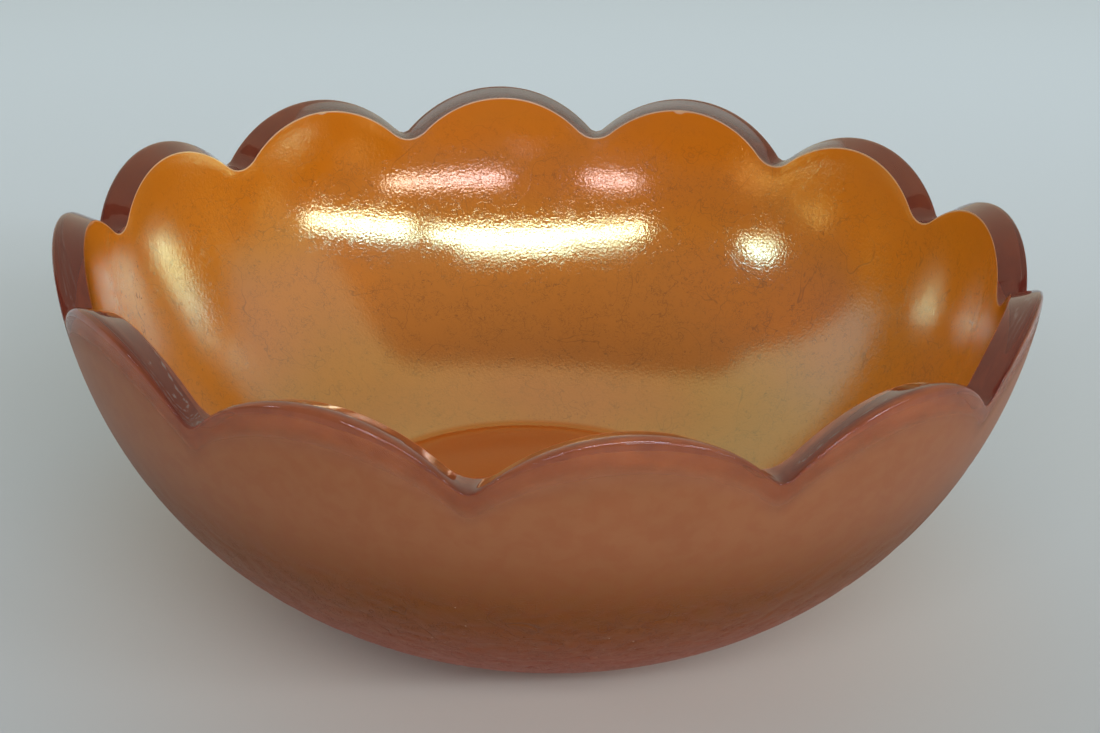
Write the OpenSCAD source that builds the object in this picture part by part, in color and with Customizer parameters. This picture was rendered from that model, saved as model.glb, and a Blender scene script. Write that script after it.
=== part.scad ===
// Pressed glass bowl with twelve rim scallops and a fired lustre film inside and out.
// Millimetres, +Z up. The origin is the middle of the flat face that the foot rests on.
// One scallop tip points along +X, and one along each of the other three axes.

/* [Bowl] */
// Diameter across two opposite scallop tips
rim_d = 204; // [180:1:230]
// Height from the resting face to the scallop tips
bowl_h = 86.5; // [84:0.5:90]
// How far above the scallop tips the belly curve would stand upright
belly_rise = 7.7; // [6:0.1:12]
// How far the belly curve drops from there if nothing cuts it off below
belly_drop = 97.5; // [96:0.5:102]
// Fullness of the belly curve across, where 2 is an ellipse
belly_power_across = 2.15; // [2:0.01:2.4]
// Fullness of the belly curve down, where 2 is an ellipse
belly_power_down = 2.17; // [2:0.01:2.4]

/* [Glass] */
// Thickness of the glass at the scallop tips
rim_t = 6.3; // [4:0.1:8]
// Thickness of the glass half way down the belly
wall_t = 5.4; // [4:0.1:8]
// Thickness of the flat floor
floor_t = 10; // [7:0.1:11]
// How far below the scallop tips the thicker rim runs out
rim_run = 30; // [15:1:45]

/* [Scallops] */
// Number of scallops round the rim
scallops = 12; // [12:1:14]
// Radius of each scallop's arc
scallop_r = 35.8; // [34:0.1:40]
// Radius at the bottom of the notch between two scallops
notch_r = 2.3; // [1:0.1:4]
// Slope of the rim's flat face, down towards the inside
rim_slope = 12; // [0:1:20]

/* [Lustre] */
// Thickness given to each lustre film, which is under a micrometre on the real bowl
film_t = 0.15; // [0.1:0.01:0.3]
// Height above the resting face where the outer film stops, just above the foot
film_stop = 4.6; // [4.4:0.2:12]

/* [Foot] */
// Outer diameter of the foot where it rests
foot_d = 82; // [78:1:86]
// Inner diameter of the foot where it rests
foot_bore_d = 74; // [73.5:0.5:75]
// Height of the recess under the floor, inside the foot
recess_h = 1.8; // [1:0.1:2]
// Width of the bevel on the foot's two lower edges
foot_bevel = 0.8; // [0.4:0.1:1.2]
// How far the foot widens on its way up to the belly
foot_flare = 1.6; // [0:0.1:3]

/* [Hidden] */

$fn = 96;
rim_r = rim_d / 2;
pitch = 360 / scallops;
curve_steps = 44;
arc_steps = 20;
notch_steps = 5;
foot_top = 8;

// Belly curve: (r / across)^n + (depth / drop)^m = 1, run from the top (0) to the axis (90)
across_exp = belly_power_across;
down_exp = belly_power_down;
belly_top = bowl_h + belly_rise;
tip_share = pow(belly_rise / belly_drop, down_exp);
belly_r = rim_r / pow(1 - tip_share, 1 / across_exp);

function belly_at(turn) = [
    belly_r * pow(cos(turn), 2 / across_exp),
    belly_top - belly_drop * pow(sin(turn), 2 / down_exp)
];

// The turn at which the belly curve comes down to a height
function turn_at(height) = asin(pow((belly_top - height) / belly_drop, down_exp / 2));

// Outward direction at a point of the belly curve, from the slope of its equation
function slope_at(p) = [
    across_exp / belly_r * pow(p.x / belly_r, across_exp - 1),
    -down_exp / belly_drop * pow((belly_top - p.y) / belly_drop, down_exp - 1)
];
function outward_at(p) = slope_at(p) / norm(slope_at(p));

// The belly point at a turn, sunk into the wall by a depth
function sunk(turn, depth) =
    let (p = belly_at(turn), q = p - depth * outward_at(p)) [max(q.x, 0), q.y];

// The inside of the glass at a turn, or a further depth in: the wall thickens towards the tips
rim_end = bowl_h - rim_run;
function rim_share(height) = pow(max(0, min(1, (height - rim_end) / rim_run)), 2);
function inside_at(turn, further) =
    sunk(turn, film_t + wall_t + (rim_t - wall_t) * rim_share(belly_at(turn).y) + further);

// The turn at which the inside comes down to the flat floor, walked to in equal-height steps
floor_z = recess_h + floor_t;
settle_steps = 12;
function floor_turn(further, turn = turn_at(recess_h + floor_t), steps = settle_steps) =
    steps == 0 ? turn
    : floor_turn(further,
        turn + turn_at(floor_z + further) - turn_at(inside_at(turn, further).y), steps - 1);

// The belly curve from one turn to another, behind the outer film or over it
function film_back(from, to) =
    [for (i = [0 : curve_steps]) sunk(from + (to - from) * i / curve_steps, film_t)];
function finish(from, to) =
    [for (i = [0 : curve_steps]) sunk(from + (to - from) * i / curve_steps, 0)];
// The inside, from the axis of the flat floor out and up the wall, or a further depth in
function inside(further) =
    let (last = floor_turn(further)) concat(
        [[0, floor_z + further]],
        [for (i = [curve_steps : -1 : 0]) inside_at(last * i / curve_steps, further)]);
function reversed(points) = [for (i = [len(points) - 1 : -1 : 0]) points[i]];

// Arc points round a centre
function arc(centre, r, from, to, steps) =
    [for (i = [0 : steps])
        let (a = from + (to - from) * i / steps) centre + r * [cos(a), sin(a)]];

// One scallop seen from outside: its arc, half a notch at each side, and a block below
half_pitch = rim_r * sin(pitch / 2);
notch_y = sqrt(pow(scallop_r + notch_r, 2) - pow(half_pitch, 2)) - scallop_r;
meet_a = atan2(notch_y + scallop_r, half_pitch);
notch_depth = notch_r - notch_y;
skirt = 6;
rim_reach = 16;
rim_past = 2;

module scallop_outline() {
    polygon(concat(
        [[half_pitch, -notch_depth - skirt]],
        arc([half_pitch, notch_y], notch_r, 270, 180 + meet_a, notch_steps),
        arc([0, -scallop_r], scallop_r, meet_a, 180 - meet_a, arc_steps),
        arc([-half_pitch, notch_y], notch_r, -meet_a, -90, notch_steps),
        [[-half_pitch, -notch_depth - skirt]]
    ));
}

// Everything that lies under the scalloped rim face
module under_rim() {
    translate([0, 0, -1])
        cylinder(h = bowl_h - notch_depth - skirt / 2 + 1, r = rim_r + rim_past);
    for (k = [0 : scallops - 1])
        rotate([0, 0, k * pitch])
            translate([rim_r, 0, bowl_h])
                rotate([0, -rim_slope, 0])
                    translate([-rim_reach, 0, 0])
                        rotate([90, 0, 90])
                            linear_extrude(height = rim_reach + rim_past)
                                scallop_outline();
}

// Bare pressed glass: one wall and floor, cut off flat inside the foot
module glass_body() {
    base_turn = turn_at(recess_h);
    color([0.62, 0.42, 0.36])
        intersection() {
            rotate_extrude()
                polygon(concat(film_back(0, base_turn), [[0, recess_h]], inside(0)));
            under_rim();
        }
}

// Low collar that the bowl stands on, pressed with the body and ground flat below
module foot_ring() {
    foot_r = foot_d / 2;
    bore_r = foot_bore_d / 2;
    color([0.55, 0.36, 0.30])
        difference() {
            rotate_extrude()
                polygon([
                    [bore_r + foot_bevel, 0],
                    [foot_r - foot_bevel, 0],
                    [foot_r, foot_bevel],
                    [foot_r + foot_flare, foot_top],
                    [bore_r, foot_top],
                    [bore_r, foot_bevel]
                ]);
            rotate_extrude()
                polygon(concat(film_back(0, turn_at(recess_h)), [[0, recess_h], [0, belly_top]]));
        }
}

// Marigold lustre fired onto the smooth inside
module inner_lustre() {
    color([0.90, 0.46, 0.10])
        intersection() {
            rotate_extrude()
                polygon(concat(reversed(inside(0)), inside(film_t)));
            under_rim();
        }
}

// Marigold lustre fired onto the outside, from the rim down to the foot
module outer_lustre() {
    stop_turn = turn_at(film_stop);
    color([0.74, 0.42, 0.28])
        intersection() {
            rotate_extrude()
                polygon(concat(finish(0, stop_turn), film_back(stop_turn, 0)));
            under_rim();
        }
}

glass_body();
foot_ring();
inner_lustre();
outer_lustre();
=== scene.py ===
import math
import bpy
import numpy as np
from mathutils import Matrix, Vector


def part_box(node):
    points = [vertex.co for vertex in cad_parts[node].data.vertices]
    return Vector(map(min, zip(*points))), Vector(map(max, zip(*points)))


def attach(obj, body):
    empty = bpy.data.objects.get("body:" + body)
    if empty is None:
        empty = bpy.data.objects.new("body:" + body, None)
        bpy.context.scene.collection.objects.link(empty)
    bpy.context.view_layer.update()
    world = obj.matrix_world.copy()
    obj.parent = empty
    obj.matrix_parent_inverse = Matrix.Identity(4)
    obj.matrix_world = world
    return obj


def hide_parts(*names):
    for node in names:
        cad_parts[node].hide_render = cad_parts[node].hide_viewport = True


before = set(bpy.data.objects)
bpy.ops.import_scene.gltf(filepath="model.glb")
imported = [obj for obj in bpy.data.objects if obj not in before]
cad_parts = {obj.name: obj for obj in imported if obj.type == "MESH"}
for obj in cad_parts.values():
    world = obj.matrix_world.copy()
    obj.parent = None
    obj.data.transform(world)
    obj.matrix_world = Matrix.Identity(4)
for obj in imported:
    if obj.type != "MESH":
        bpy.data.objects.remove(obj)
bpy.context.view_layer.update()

# ---------------------------------------------------------------- pressed glass wall
# One gather of clear glass pressed between a plunger and a mould: wall, floor and a rim of
# twelve scallops.  The rim face is bare and fire-polished, so its outer edge is rounded and
# its inner edge stays crisp; the two sides are covered by the fired lustre.
belly_low, belly_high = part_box("outer_lustre")
rim_r = float(belly_high[0])          # axis to a scallop tip
tip_z = float(belly_high[2])          # resting face to a scallop tip
belly_rise = 0.0077                   # belly curve's upright point above the tips
belly_drop = 0.0975                   # depth of the whole belly curve below that point
power_across, power_down = 2.15, 2.17
belly_top = tip_z + belly_rise
belly_r = rim_r / (1 - (belly_rise / belly_drop) ** power_down) ** (1 / power_across)
rim_t, wall_t, floor_t = 0.0063, 0.0054, 0.0100
rim_run = 0.030                       # how far down the thicker rim reaches
recess_h = 0.0018                     # underside of the floor above the resting face
film_t = 0.00015                      # lustre film, drawn far thicker than life
scallops = 12
columns = scallops * 38               # points round the bowl
half_pitch = math.pi / scallops
crest_arc, crest_notch = 0.339 * rim_r, 0.0228 * rim_r   # radii of the crest's arcs and notches
inner_arc, inner_notch = 0.329 * rim_r, 0.072 * rim_r    # the same for the rim's inner edge
inner_drop = 0.0132 * rim_r           # how far the inner edge's tips lie below the crest's
floor_z = recess_h + floor_t
edge_below = 0.0005                   # the lustre's edge below the crest of the rounded rim
tip_round = 0.0016                    # how much further down the round starts at the scallop tips
round_run = 0.0026                    # how far the round reaches in over the rim face
round_lift, tip_lift = 0.0006, 0.0004  # the round's corner above the crest, and more at the tips
clear_band = 0.013                    # glass left clear behind the lustre's thin upper edge


def belly(turn):
    """Belly curve (r/across)^n + (depth/drop)^m = 1 run by a turn from 0 (upright) to pi/2 (axis)."""
    r = belly_r * np.clip(np.cos(turn), 0, 1) ** (2 / power_across)
    z = belly_top - belly_drop * np.sin(turn) ** (2 / power_down)
    return r, z


def turn_at(z):
    """The turn at which the belly curve comes down to a height."""
    return np.arcsin(np.clip((belly_top - z) / belly_drop, 0, 1) ** (power_down / 2))


def sunk(turn, depth):
    """The belly curve moved into the wall by a depth along the slope of its own equation."""
    r, z = belly(turn)
    across = power_across / belly_r * (r / belly_r) ** (power_across - 1)
    down = -power_down / belly_drop * (np.clip(belly_top - z, 0, None) / belly_drop) ** (power_down - 1)
    size = np.hypot(across, down)
    return np.clip(r - depth * across / size, 0, None), z - depth * down / size


def inside_at(turn, further):
    """The inside of the wall, or a further depth in: near the rim it swells by (height / rim run)^2."""
    rim_share = np.clip((belly(turn)[1] - tip_z + rim_run) / rim_run, 0, 1) ** 2
    return sunk(turn, film_t + wall_t + (rim_t - wall_t) * rim_share + further)


def inside_turn(height, further):
    """The turn at which the inside comes down to a height, walked to in equal-height steps."""
    turn = turn_at(height)
    for _ in range(14):
        turn = turn + turn_at(height) - turn_at(inside_at(turn, further)[1])
    return turn


def rim_drop(angle, arc_r, notch_r):
    """How far the rim lies below the tips: round arcs side by side, each notch eased by a small arc."""
    along = rim_r * np.abs((angle + half_pitch) % (2 * half_pitch) - half_pitch)
    half = rim_r * half_pitch
    notch_z = math.sqrt((arc_r + notch_r) ** 2 - half ** 2)
    on_arc = arc_r - np.sqrt(np.clip(arc_r ** 2 - along ** 2, 0, None))
    in_notch = arc_r - notch_z + np.sqrt(np.clip(notch_r ** 2 - (half - along) ** 2, 0, None))
    return np.where(along < half * arc_r / (arc_r + notch_r), on_arc, in_notch)


def bark(round_angle, turn):
    """Depth of the mould's crackle: narrow grooves where a seeded sum of waves crosses zero.

    Each wave is a cosine of a whole number of turns round the bowl and of the length down the belly;
    the groove is exp(-(sum / width)^2), faded out under the smooth band and above the foot."""
    deepest, width, count, most_turns = 0.00020, 0.30, 40, 62
    shortest, longest = 0.007, 0.020
    smooth_from, smooth_fade, foot_from, foot_fade = 0.060, 0.014, 0.006, 0.006
    fine_turn = np.linspace(0, np.pi / 2, 2000)
    r, z = belly(fine_turn)
    length = np.concatenate([[0], np.cumsum(np.hypot(np.diff(r), np.diff(z)))])
    down = np.interp(turn, fine_turn, length)
    draws = np.random.default_rng(12)
    around = draws.integers(-most_turns, most_turns + 1, count)
    along = 2 * np.pi / draws.uniform(shortest, longest, count)
    phase = draws.uniform(0, 2 * np.pi, count)
    field = sum(np.cos(k * round_angle + q * down + p) for k, q, p in zip(around, along, phase))
    field = field / math.sqrt(count / 2)
    height = belly(turn)[1]
    shown = np.clip((smooth_from - height) / smooth_fade, 0, 1)
    shown = shown * np.clip((height - foot_from) / foot_fade, 0, 1)
    return deepest * shown * np.exp(-(field / width) ** 2)


angle = np.linspace(0, 2 * np.pi, columns, endpoint=False)
rim_z = tip_z - edge_below - rim_drop(angle, crest_arc, crest_notch)
tipness = (rim_z - rim_z.min()) / np.ptp(rim_z)
edge_z = rim_z - tip_round * tipness
inner_rim_z = tip_z - edge_below - inner_drop - rim_drop(angle, inner_arc, inner_notch)
edge_turn = turn_at(edge_z)
inner_turn = inside_turn(inner_rim_z, 0)
stop_turn = turn_at(float(belly_low[2]))
base_turn = turn_at(recess_h)

edge = np.stack(sunk(edge_turn, film_t))
corner = np.stack(sunk(turn_at(rim_z + round_lift + tip_lift * tipness), film_t))
inner_corner = np.stack(inside_at(inner_turn, 0))
face_way = (inner_corner - corner) / np.linalg.norm(inner_corner - corner, axis=0)
face_start = corner + round_run * face_way


def outside(depth, rows):
    """The outside from the lustre's lower stop up to its edge, sunk by a depth and the crackle."""
    turn = stop_turn + (edge_turn - stop_turn) * rows[:, None]
    return np.stack(sunk(turn, depth + bark(angle, turn)))


def lining(further, rows):
    """The inside from the rim down the wall and in over the flat floor, or a further depth in."""
    last = inside_turn(floor_z + np.max(further), np.max(further))
    turn = inner_turn + (last - inner_turn) * rows[:, None]
    wall = np.stack(inside_at(turn, further))
    end = wall[:, -1:]
    in_share = np.linspace(1, 0, 12)[1:-1, None]
    flat_floor = np.stack([end[0] * in_share, np.broadcast_to(end[1], (len(in_share), columns))])
    return np.concatenate([wall, flat_floor], axis=1)


def turned(points):
    """Rings of (r, z), shaped 2 x rings x columns, swung round the axis to x, y and z."""
    r, z = points
    return np.stack([r * np.cos(angle), r * np.sin(angle), np.broadcast_to(z, r.shape)], axis=-1)


def skin(name, rings, joined, slots=None):
    """A closed mesh over rings of points: its ends shut on the axis, or joined in a loop.

    Slots give each band of faces its material; an end takes that of the band next to it."""
    count, across = rings.shape[:2]
    verts = rings.reshape(-1, 3)
    row = np.arange(count if joined else count - 1)
    col = np.arange(across)
    a = (row[:, None] * across + col).ravel()
    b = (row[:, None] * across + (col + 1) % across).ravel()
    c = ((row[:, None] + 1) % count * across + (col + 1) % across).ravel()
    d = ((row[:, None] + 1) % count * across + col).ravel()
    quads = np.stack([a, b, c, d], axis=1)
    counts = np.full(len(quads), 4)
    corners = quads.ravel()
    if not joined:
        ends = np.array([verts[:across].mean(0), verts[-across:].mean(0)])
        first, last = len(verts), len(verts) + 1
        tail = (count - 1) * across
        verts = np.concatenate([verts, ends])
        fans = np.concatenate([
            np.stack([np.full(across, first), (col + 1) % across, col], axis=1),
            np.stack([np.full(across, last), tail + col, tail + (col + 1) % across], axis=1)])
        counts = np.concatenate([counts, np.full(len(fans), 3)])
        corners = np.concatenate([corners, fans.ravel()])
    mesh = bpy.data.meshes.new(name)
    mesh.vertices.add(len(verts))
    mesh.vertices.foreach_set("co", verts.astype(np.float32).ravel())
    mesh.loops.add(len(corners))
    mesh.loops.foreach_set("vertex_index", corners.astype(np.int32))
    mesh.polygons.add(len(counts))
    mesh.polygons.foreach_set("loop_start", np.concatenate([[0], np.cumsum(counts)[:-1]]).astype(np.int32))
    mesh.polygons.foreach_set("use_smooth", np.ones(len(counts), bool))
    if slots is not None:
        kinds = np.repeat(slots, across)
        if not joined:
            kinds = np.concatenate([kinds, np.repeat([slots[0], slots[-1]], across)])
        mesh.polygons.foreach_set("material_index", kinds.astype(np.int32))
    mesh.update(calc_edges=True)
    mesh.validate()
    piece = bpy.data.objects.new(name, mesh)
    bpy.context.scene.collection.objects.link(piece)
    return piece


side_rows, wall_rows = 98, 72
base_r = float(sunk(base_turn, film_t)[0])
under_share = np.linspace(0, 1, 9)[1:-1, None]
under_z = np.full((len(under_share), columns), recess_h)
underside = np.stack([base_r * under_share * np.ones(columns), under_z])
heel_turn = base_turn + (stop_turn - base_turn) * np.linspace(0, 1, 4)[:-1, None]
heel = np.stack(sunk(heel_turn * np.ones(columns), film_t))
outer_rows = np.linspace(0, 1, side_rows)
side = outside(film_t, outer_rows)
bend = np.linspace(0, 1, 14)[1:-1, None]
rounding = np.stack([
    (1 - bend) ** 2 * edge[i] + 2 * bend * (1 - bend) * corner[i] + bend ** 2 * face_start[i]
    for i in range(2)])
face_share = np.array([0, 0.25, 0.5, 0.75, 0.9, 0.97])[:, None]
face = np.stack([face_start[i] + (inner_corner[i] - face_start[i]) * face_share for i in range(2)])
inner_rows = np.concatenate([[0, 0.0008], np.linspace(0, 1, wall_rows)[1:]])
before_lining = [underside, heel, side, rounding, face]
wall_rings = np.concatenate([*before_lining, lining(0, inner_rows)], axis=1)
clear_rows = side[1].mean(axis=1) > edge_z.mean() - clear_band
first_clear = underside.shape[1] + heel.shape[1] + int(np.argmax(clear_rows))
last_clear = sum(part.shape[1] for part in before_lining)
ring_kind = np.ones(wall_rings.shape[1] - 1, int)
ring_kind[first_clear:last_clear] = 0
glass_wall = skin("glass_wall", turned(wall_rings), False, ring_kind)


def new_material(name):
    """A node material with a Principled shader: the material, its nodes and the shader."""
    material = bpy.data.materials.new(name)
    material.use_nodes = True
    return material, material.node_tree, material.node_tree.nodes["Principled BSDF"]


def link_chain(tree, node_type, inputs, **settings):
    """A node with its settings and its inputs set or linked, whose first output is returned."""
    node = tree.nodes.new(node_type)
    for key, value in settings.items():
        setattr(node, key, value)
    for key, value in inputs.items():
        if isinstance(value, bpy.types.NodeSocket):
            tree.links.new(value, node.inputs[key])
        else:
            node.inputs[key].default_value = value
    return node.outputs[0]


def ramp(tree, value, low, high, out_low=0.0, out_high=1.0):
    """A value eased from one span to another."""
    spans = {"Value": value, "From Min": low, "From Max": high, "To Min": out_low, "To Max": out_high}
    return link_chain(tree, "ShaderNodeMapRange", spans, interpolation_type="SMOOTHSTEP")


def noise(tree, place, scale, detail=2.0, distortion=0.0):
    """Smooth noise at a place."""
    return link_chain(tree, "ShaderNodeTexNoise",
                      {"Vector": place, "Scale": scale, "Detail": detail, "Distortion": distortion})


def blend_colour(tree, factor, a, b):
    """Two colours mixed by a factor."""
    node = tree.nodes.new("ShaderNodeMix")
    node.data_type = "RGBA"
    for socket, value in ((node.inputs[0], factor), (node.inputs[6], a), (node.inputs[7], b)):
        if isinstance(value, bpy.types.NodeSocket):
            tree.links.new(value, socket)
        elif isinstance(value, tuple):
            socket.default_value = (*value, 1)
        else:
            socket.default_value = value
    return node.outputs[2]


def clouded(tree, shader, a, b, scale, detail, distortion=0.0):
    """A base colour that drifts between two by smooth noise; the place it reads is returned."""
    place = tree.nodes.new("ShaderNodeTexCoord").outputs["Object"]
    patches = ramp(tree, noise(tree, place, scale, detail, distortion), 0.35, 0.65)
    tree.links.new(blend_colour(tree, patches, a, b), shader.inputs["Base Color"])
    return place


rim_glass, nodes, shader = new_material("bare_rim_glass")
clouded(nodes, shader, (0.98, 0.92, 0.91), (0.95, 0.86, 0.85), 60.0, 3.0, 1.5)
shader.inputs["Roughness"].default_value = 0.04
shader.inputs["IOR"].default_value = 1.52
shader.inputs["Transmission Weight"].default_value = 1.0
# A real fired film lets some light through; a weak glow of its own stands in for that here.
film_back, nodes, shader = new_material("lustre_seen_through_the_rim")
clouded(nodes, shader, (0.63, 0.19, 0.065), (0.52, 0.15, 0.055), 180.0, 4.0)
shader.inputs["Roughness"].default_value = 0.5
shader.inputs["Specular IOR Level"].default_value = 0.1
shader.inputs["Emission Color"].default_value = (0.62, 0.16, 0.10, 1)
shader.inputs["Emission Strength"].default_value = 0.055
glass_wall.data.materials.append(rim_glass)
glass_wall.data.materials.append(film_back)
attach(glass_wall, "root")
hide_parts("glass_body")

# ---------------------------------------------------------------- foot
# A low collar that the bowl stands on, of bare glass pressed in one with the body and then
# ground flat below, with its two lower edges rounded off.
foot_r = float(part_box("foot_ring")[1][0]) - 0.0016   # outer radius where it rests
bore_r = 0.037
foot_bevel = 0.0008
foot_steps = np.linspace(0, np.pi / 2, 6)
ease_out = foot_bevel * (1 - np.cos(foot_steps))     # a lower edge's round, from 0 to the bevel
ease_down = foot_bevel * (1 - np.sin(foot_steps))    # the same round, from the bevel to 0
meet_h = 0.0040                                      # where the collar runs into the belly
meet_gap = 0.00005                                   # how far its upper edge stands off the glass
top_gap = 0.00002                                    # hairline between it and the floor above
meet = np.array([float(v) for v in sunk(turn_at(meet_h), film_t - meet_gap)])
section = np.concatenate([
    [[bore_r, recess_h - top_gap]],
    np.stack([bore_r + ease_out, ease_down], 1),
    np.stack([foot_r - ease_down, ease_out], 1),
    [meet]])
foot_collar = skin("foot_collar", turned(np.repeat(section.T[:, :, None], columns, axis=2)), True)
foot_look, nodes, shader = new_material("foot_glass")
place = clouded(nodes, shader, (0.50, 0.19, 0.10), (0.40, 0.14, 0.075), 90.0, 4.0, 0.6)
ground = link_chain(nodes, "ShaderNodeBump", {"Strength": 0.25, "Distance": 0.0001,
                                              "Height": noise(nodes, place, 1400.0, 3.0)})
nodes.links.new(ground, shader.inputs["Normal"])
shader.inputs["Roughness"].default_value = 0.18
shader.inputs["IOR"].default_value = 1.52
foot_collar.data.materials.append(foot_look)
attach(foot_collar, "root")
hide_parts("foot_ring")

# ---------------------------------------------------------------- inner lustre
# A film of iron salts sprayed onto the hot, smooth inside and fired to a bright orange mirror.
# Its thickness drifts with height, so what it mirrors turns from pink to gold.  The crackle
# pressed into the outside shows through it as short broken lines and a few long veins.
film_gap = 0.00002                    # the film's edge stands this far off the glass, its back half as far
taper = np.clip(inner_rows * wall_rows / 2, 0, 1)[:, None]
film_front = lining(film_gap + (film_t - film_gap) * taper, inner_rows)
film_rear = lining(film_gap * 0.5, inner_rows)
inner_rings = np.concatenate([film_rear[:, ::-1], film_front], axis=1)
film_kind = np.repeat([1, 0], [film_rear.shape[1], film_front.shape[1] - 1])
inner_film = skin("inner_lustre_film", turned(inner_rings), False, film_kind)
from_rim = inner_film.data.attributes.new("from_rim", "FLOAT", "POINT")
at_axis = [1.0, 1.0]                  # the mesh's two end points, a long way from the rim
rim_gap = np.concatenate([(inner_rim_z - inner_rings[1]).ravel(), at_axis])
from_rim.data.foreach_set("value", rim_gap.astype(np.float32))

crackle = bpy.data.node_groups.new("bark_crackle", "ShaderNodeTree")
for socket, usual in (("Line spacing", 0.004), ("Start height", 0.06)):
    made = crackle.interface.new_socket(socket, in_out="INPUT", socket_type="NodeSocketFloat")
    made.default_value = usual
for socket in ("Lines", "Height"):
    crackle.interface.new_socket(socket, in_out="OUTPUT", socket_type="NodeSocketFloat")
asked = crackle.nodes.new("NodeGroupInput")
given = crackle.nodes.new("NodeGroupOutput")
where = crackle.nodes.new("ShaderNodeTexCoord").outputs["Object"]


def sum_of(tree, operation, a, b):
    """A Math node on two numbers or outputs."""
    return link_chain(tree, "ShaderNodeMath", {0: a, 1: b}, operation=operation)


def axis_of(tree, place, axis="Z"):
    """One coordinate of a place."""
    return link_chain(tree, "ShaderNodeSeparateXYZ", {0: place}).node.outputs[axis]


def spaced(scale_by, detail, distortion=0.0):
    """The crackle's smooth noise, at a scale over the line spacing."""
    scale = sum_of(crackle, "MULTIPLY", density, scale_by)
    return noise(crackle, where, scale, detail, distortion)


def contour(scale_by, width, detail, distortion):
    """Thin lines where smooth noise crosses its middle value, as wide as the share given."""
    off_middle = sum_of(crackle, "SUBTRACT", spaced(scale_by, detail, distortion), 0.5)
    return ramp(crackle, sum_of(crackle, "ABSOLUTE", off_middle, 0.0), 0.0, width, 1.0, 0.0)


density = sum_of(crackle, "DIVIDE", 1.0, asked.outputs["Line spacing"])
fine = sum_of(crackle, "MULTIPLY", contour(1.1, 0.022, 2.0, 1.4),
              ramp(crackle, spaced(0.8, 2.0), 0.46, 0.60))
finer = sum_of(crackle, "MULTIPLY", contour(2.3, 0.035, 2.0, 0.8),
               ramp(crackle, spaced(0.55, 2.0, 1.0), 0.40, 0.58))
veins = sum_of(crackle, "MULTIPLY", contour(0.16, 0.0045, 3.0, 0.6), 0.8)
lines = sum_of(crackle, "MAXIMUM", fine, sum_of(crackle, "MULTIPLY", finer, 0.7))
lines = sum_of(crackle, "MAXIMUM", lines, veins)
start_top = sum_of(crackle, "ADD", asked.outputs["Start height"], 0.008)
start_low = sum_of(crackle, "SUBTRACT", asked.outputs["Start height"], 0.012)
below = ramp(crackle, axis_of(crackle, where), start_low, start_top, 1.0, 0.0)
lines = sum_of(crackle, "MULTIPLY", lines, below)
crackle.links.new(lines, given.inputs["Lines"])
ripple = sum_of(crackle, "MULTIPLY", spaced(0.7, 3.0), below)
crackle.links.new(sum_of(crackle, "SUBTRACT", ripple, lines), given.inputs["Height"])


def crackled(tree, spacing, start):
    """The crackle placed in a material, with its line spacing and its start height."""
    node = tree.nodes.new("ShaderNodeGroup")
    node.node_tree = crackle
    node.inputs["Line spacing"].default_value = spacing
    node.inputs["Start height"].default_value = start
    return node


inner_look, nodes, shader = new_material("inner_marigold_lustre")
place = nodes.nodes.new("ShaderNodeTexCoord").outputs["Object"]
up = axis_of(nodes, place)
marks = crackled(nodes, 0.0028, 0.078)
# The base colour is painted lighter and more orange towards the rim and browner low down, for the light
# that comes in through the wall from behind.
colour = blend_colour(nodes, ramp(nodes, up, 0.015, 0.044), (0.34, 0.095, 0.016), (0.60, 0.165, 0.006))
clouds = ramp(nodes, noise(nodes, place, 22.0, 3.0), 0.35, 0.70, 0.0, 0.35)
colour = blend_colour(nodes, clouds, colour, (0.42, 0.14, 0.025))
dark_lines = sum_of(nodes, "MULTIPLY", marks.outputs["Lines"], 0.60)
colour = blend_colour(nodes, dark_lines, colour, (0.14, 0.04, 0.010))
floor_low, floor_high = floor_z + 0.0005, floor_z + 0.0012
on_floor = ramp(nodes, up, floor_low, floor_high, 0.85, 0.0)
colour = blend_colour(nodes, on_floor, colour, (0.34, 0.040, 0.002))
# A pale band along the inner edge, its width drifting by noise: partly lustre chipped off the edge, partly
# a painted highlight along the crisp edge.
edge_distance = nodes.nodes.new("ShaderNodeAttribute")
edge_distance.attribute_name = "from_rim"
chip_and_glint_width = ramp(nodes, noise(nodes, place, 75.0, 2.0), 0.66, 0.74, 0.0003, 0.0010)
past_edge_band = sum_of(nodes, "SUBTRACT", edge_distance.outputs["Fac"], chip_and_glint_width)
wear_and_glint = ramp(nodes, past_edge_band, -0.00015, 0.00015, 0.85, 0.0)
colour = blend_colour(nodes, wear_and_glint, colour, (0.72, 0.50, 0.32))
nodes.links.new(colour, shader.inputs["Base Color"])
shader.inputs["Roughness"].default_value = 0.085
shader.inputs["IOR"].default_value = 1.52
nodes.links.new(ramp(nodes, up, floor_low, floor_high, 0.0, 1.0), shader.inputs["Coat Weight"])
shader.inputs["Coat Roughness"].default_value = 0.05
shader.inputs["Coat IOR"].default_value = 1.58
shader.inputs["Thin Film IOR"].default_value = 1.9
# The thin film in nanometres: thicker low down and again near the rim, uneven all over.
drift = ramp(nodes, noise(nodes, place, 14.0, 2.0), 0.3, 0.7, -8.0, 8.0)
low_film = ramp(nodes, up, 0.014, 0.040, 248.0, 210.0)
film = sum_of(nodes, "ADD", ramp(nodes, up, 0.046, 0.064, 0.0, 36.0), low_film)
film = sum_of(nodes, "ADD", film, drift)
nodes.links.new(film, shader.inputs["Thin Film Thickness"])
grain = sum_of(nodes, "MULTIPLY", noise(nodes, place, 1500.0, 2.0), 0.85)
relief = sum_of(nodes, "ADD", grain, sum_of(nodes, "MULTIPLY", marks.outputs["Height"], 0.10))
bump = link_chain(nodes, "ShaderNodeBump", {"Strength": 0.20, "Distance": 0.0002, "Height": relief})
nodes.links.new(bump, shader.inputs["Normal"])
nodes.links.new(bump, shader.inputs["Coat Normal"])
inner_film.data.materials.append(inner_look)
inner_film.data.materials.append(film_back)
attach(inner_film, "root")
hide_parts("inner_lustre")
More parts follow.
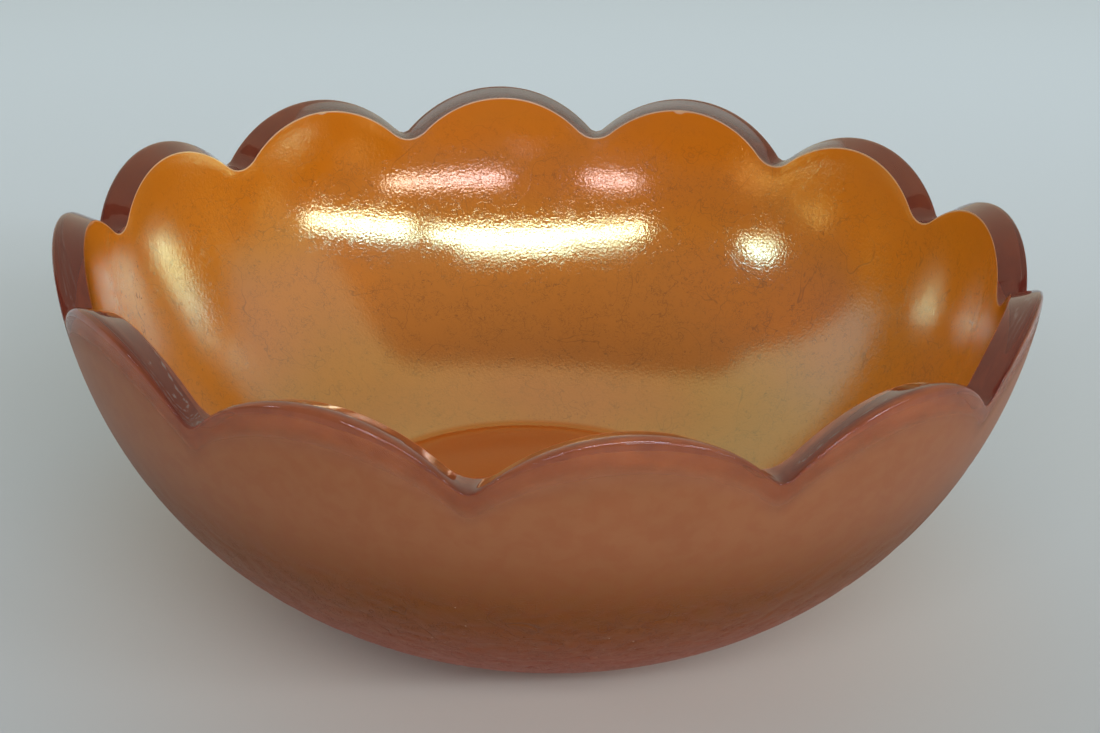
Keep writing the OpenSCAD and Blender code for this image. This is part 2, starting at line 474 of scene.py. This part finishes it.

# ---------------------------------------------------------------- outer lustre
# The same salts sprayed on the outside, smooth under the rim and crackled over the belly, down to just
# above the foot.
# Its colour is painted by height: pinkish under the rim for the pale room it mirrors there, browner over
# the belly for light coming through from inside, and redder low down where the wall is seen against the
# dark.
thinning = np.clip(np.minimum(outer_rows, 1 - outer_rows) * side_rows / 3, 0, 1)[:, None]
outer_front = outside((film_t - film_gap) * (1 - thinning), outer_rows)
outer_rear = outside(film_t - film_gap * 0.5, outer_rows)
outer_rings = np.concatenate([outer_front, outer_rear[:, ::-1]], axis=1)
outer_kind = np.repeat([0, 1], outer_front.shape[1])
outer_film = skin("outer_lustre_film", turned(outer_rings), True, outer_kind)
below_edge = outer_film.data.attributes.new("below_edge", "FLOAT", "POINT")
below_edge.data.foreach_set("value", (edge_z - outer_rings[1]).astype(np.float32).ravel())


def thinned(tree, shader, thin_from, thin_to, thinnest):
    """Cover that grows from its thinnest at the film's upper edge to whole lower down."""
    below = tree.nodes.new("ShaderNodeAttribute")
    below.attribute_name = "below_edge"
    cover = ramp(tree, below.outputs["Fac"], thin_from, thin_to, thinnest, 1.0)
    tree.links.new(cover, shader.inputs["Alpha"])


outer_look, nodes, shader = new_material("outer_marigold_lustre")
place = nodes.nodes.new("ShaderNodeTexCoord").outputs["Object"]
up = axis_of(nodes, place)
marks = crackled(nodes, 0.0030, 0.048)
# Painted by height: a pinkish reflection under the rim, light from inside over the belly, redder low down.
colour = blend_colour(nodes, ramp(nodes, up, 0.014, 0.046), (0.360, 0.058, 0.024), (0.190, 0.048, 0.004))
colour = blend_colour(nodes, ramp(nodes, up, 0.044, 0.068), colour, (0.300, 0.106, 0.044))
mottle = ramp(nodes, noise(nodes, place, 300.0, 5.0, 0.4), 0.36, 0.66, 0.0, 0.20)
colour = blend_colour(nodes, mottle, colour, (0.220, 0.036, 0.012))
speck = ramp(nodes, noise(nodes, place, 700.0, 3.0), 0.56, 0.70, 0.0, 0.60)
speck = sum_of(nodes, "MULTIPLY", speck, ramp(nodes, up, 0.014, 0.050, 1.0, 0.0))
colour = blend_colour(nodes, speck, colour, (0.42, 0.19, 0.12))
dark_lines = sum_of(nodes, "MULTIPLY", marks.outputs["Lines"], 0.40)
colour = blend_colour(nodes, dark_lines, colour, (0.09, 0.016, 0.010))
nodes.links.new(colour, shader.inputs["Base Color"])
shader.inputs["Roughness"].default_value = 0.42
shader.inputs["IOR"].default_value = 1.36
shader.inputs["Specular Tint"].default_value = (1.0, 0.62, 0.38, 1)
thinned(nodes, shader, 0.0, clear_band * 0.62, 0.25)
bump = link_chain(nodes, "ShaderNodeBump",
                  {"Strength": 0.5, "Distance": 0.0005, "Height": marks.outputs["Height"]})
nodes.links.new(bump, shader.inputs["Normal"])
# The film's back, seen through the rim, is painted pale for the light that passes through the film, and
# has the same kind of stand-in glow.
outer_back, nodes, shader = new_material("outer_lustre_from_behind")
clouded(nodes, shader, (0.70, 0.58, 0.48), (0.61, 0.49, 0.39), 180.0, 4.0)
shader.inputs["Roughness"].default_value = 0.5
shader.inputs["Specular IOR Level"].default_value = 0.1
shader.inputs["Emission Color"].default_value = (0.74, 0.60, 0.50, 1)
shader.inputs["Emission Strength"].default_value = 0.14
thinned(nodes, shader, 0.002, clear_band * 0.9, 0.0)
outer_film.data.materials.append(outer_look)
outer_film.data.materials.append(outer_back)
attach(outer_film, "root")
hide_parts("outer_lustre")

# ---------------------------------------------------------------- studio
# A pale table top, painted darker at the front, lighter and bluer towards the back and warmer close round
# the bowl for the light that falls on it; a pale cloth hung behind and over the bowl, with a sagging hem,
# that only the bowl mirrors; a long window in parts in front of the bowl, a small one aside; and a soft
# fill that mirrors do not see, for the light of the rest of the room.
floor_size = 3.0
floor_mesh = bpy.data.meshes.new("table")
floor_mesh.from_pydata([(-floor_size, -floor_size, 0), (floor_size, -floor_size, 0),
                        (floor_size, floor_size, 0), (-floor_size, floor_size, 0)], [], [(0, 1, 2, 3)])
table = bpy.data.objects.new("table", floor_mesh)
bpy.context.scene.collection.objects.link(table)
table_look, nodes, shader = new_material("pale_table")
place = nodes.nodes.new("ShaderNodeTexCoord").outputs["Object"]
# The table is painted darker at the front and lighter and bluer towards the back, for how the light falls
# across it.
painted_light_towards_back = ramp(nodes, axis_of(nodes, place, "Y"), -0.20, 0.55)
table_colour = blend_colour(nodes, painted_light_towards_back, (0.43, 0.44, 0.44), (0.75, 0.85, 0.96))
# Close round the bowl the table is warmer, for the light that orange glass throws on it.
centre_way = link_chain(nodes, "ShaderNodeVectorMath", {0: place}, operation="LENGTH")
close_by = ramp(nodes, centre_way.node.outputs["Value"], 0.05, 0.14, 0.75, 0.0)
table_colour = blend_colour(nodes, close_by, table_colour, (0.58, 0.49, 0.40))
nodes.links.new(table_colour, shader.inputs["Base Color"])
shader.inputs["Roughness"].default_value = 0.6
table.data.materials.append(table_look)

view_turn = math.radians(-8.4)        # where the camera stands, turned about the axis from -Y
world = bpy.data.worlds.new("surround")
bpy.context.scene.world = world
world.use_nodes = True
tree = world.node_tree
way = tree.nodes.new("ShaderNodeTexCoord").outputs["Generated"]


def along(direction):
    """How far a look direction points along a given one."""
    dot = link_chain(tree, "ShaderNodeVectorMath", {0: way, 1: direction}, operation="DOT_PRODUCT")
    return dot.node.outputs["Value"]


ahead = along((-math.sin(view_turn), math.cos(view_turn), 0.0))
aside = along((math.cos(view_turn), math.sin(view_turn), 0.0))
# The cloth fills the ways that point further ahead than its hem, which draws back with the
# square of the way aside and comes forward again at both sides.
sag = sum_of(tree, "MULTIPLY", sum_of(tree, "MULTIPLY", aside, aside), 0.65)
hem = sum_of(tree, "ADD", sag, ramp(tree, aside, 0.46, 0.95, -0.165, -0.78))
hem = sum_of(tree, "ADD", hem, ramp(tree, aside, -0.60, -0.75, 0.0, -0.15))
cloth = ramp(tree, sum_of(tree, "SUBTRACT", ahead, hem), -0.012, 0.006)
shade = ramp(tree, aside, 0.30, 0.85, 1.0, 0.62)
bright = blend_colour(tree, shade, (0.0, 0.0, 0.0), (0.64, 0.63, 0.50))
glow = blend_colour(tree, cloth, (0.12, 0.12, 0.12), bright)
seen = tree.nodes.new("ShaderNodeLightPath").outputs["Is Camera Ray"]
glow = blend_colour(tree, seen, glow, (0.50, 0.59, 0.60))
tree.links.new(glow, tree.nodes["Background"].inputs["Color"])

window_y, window_lift = -1.0, 0.05    # where the windows stand, and their rise over the spans below
window_radiance, fill_radiance = 22.0, 4.6
daylight, room_light = (0.74, 0.87, 1.0), (1.0, 0.95, 0.90)
side_turn = math.radians(-78)


def strip_light(name, centre, wide, tall, radiance, turn=0.0, colour=daylight):
    """A soft rectangular light facing along +Y unless turned; power is radiance x pi x area."""
    lamp = bpy.data.lights.new(name, "AREA")
    lamp.shape = "RECTANGLE"
    lamp.size, lamp.size_y = wide, tall
    lamp.energy = radiance * math.pi * wide * tall
    lamp.color = colour
    holder = bpy.data.objects.new(name, lamp)
    bpy.context.scene.collection.objects.link(holder)
    holder.location = centre
    holder.rotation_euler = (math.pi / 2, 0, turn)
    return holder


for name, x_low, x_high, z_low, z_high, share in (
        ("long_window_left", -0.84, 0.64, 0.69, 0.765, 1.0),
        ("long_window_right", 0.78, 2.6, 0.625, 0.765, 0.8),
        ("lower_pane_middle", -0.28, 0.43, 0.785, 0.90, 0.45),
        ("lower_pane_left", -0.74, -0.30, 0.785, 0.90, 0.18),
        ("low_window_left", 0.10, 0.90, 0.265, 0.325, 0.45),
        ("low_window_right", -0.68, -0.35, 0.265, 0.325, 0.45)):
    middle = ((x_low + x_high) / 2, window_y, (z_low + z_high) / 2 + window_lift)
    strip_light(name, middle, x_high - x_low, z_high - z_low, window_radiance * share)
strip_light("side_window", (-1.11, -0.236, 0.536), 0.19, 0.04, window_radiance, side_turn)
strip_light("side_glow", (-1.11, -0.18, 0.474), 0.13, 0.11, window_radiance * 0.20, side_turn)
fill = strip_light("room_fill", (0.35, window_y, 0.85), 2.4, 0.35, fill_radiance, colour=room_light)
fill.visible_glossy = False
fill.visible_camera = False

camera_away, camera_above = 3.18775 * rim_r, 1.15648 * rim_r   # from the axis, and over the rim line
view_yaw, view_pitch, view_roll = (math.radians(a) for a in (0.22, 25.18, 2.30))
cam_data = bpy.data.cameras.new("camera")
camera = bpy.data.objects.new("camera", cam_data)
bpy.context.scene.collection.objects.link(camera)
bpy.context.scene.camera = camera
cam_data.sensor_width = 36.0
cam_data.lens = 53.2178
cam_data.clip_start = 0.01
camera.location = (camera_away * math.sin(view_turn), -camera_away * math.cos(view_turn),
                   tip_z - edge_below + camera_above)
aim = Matrix.Rotation(view_turn - view_yaw, 4, "Z")
aim = aim @ Matrix.Rotation(math.pi / 2 - view_pitch, 4, "X") @ Matrix.Rotation(view_roll, 4, "Z")
camera.rotation_mode = "XYZ"
camera.rotation_euler = aim.to_euler("XYZ")

bpy.context.scene.view_settings.view_transform = "Standard"
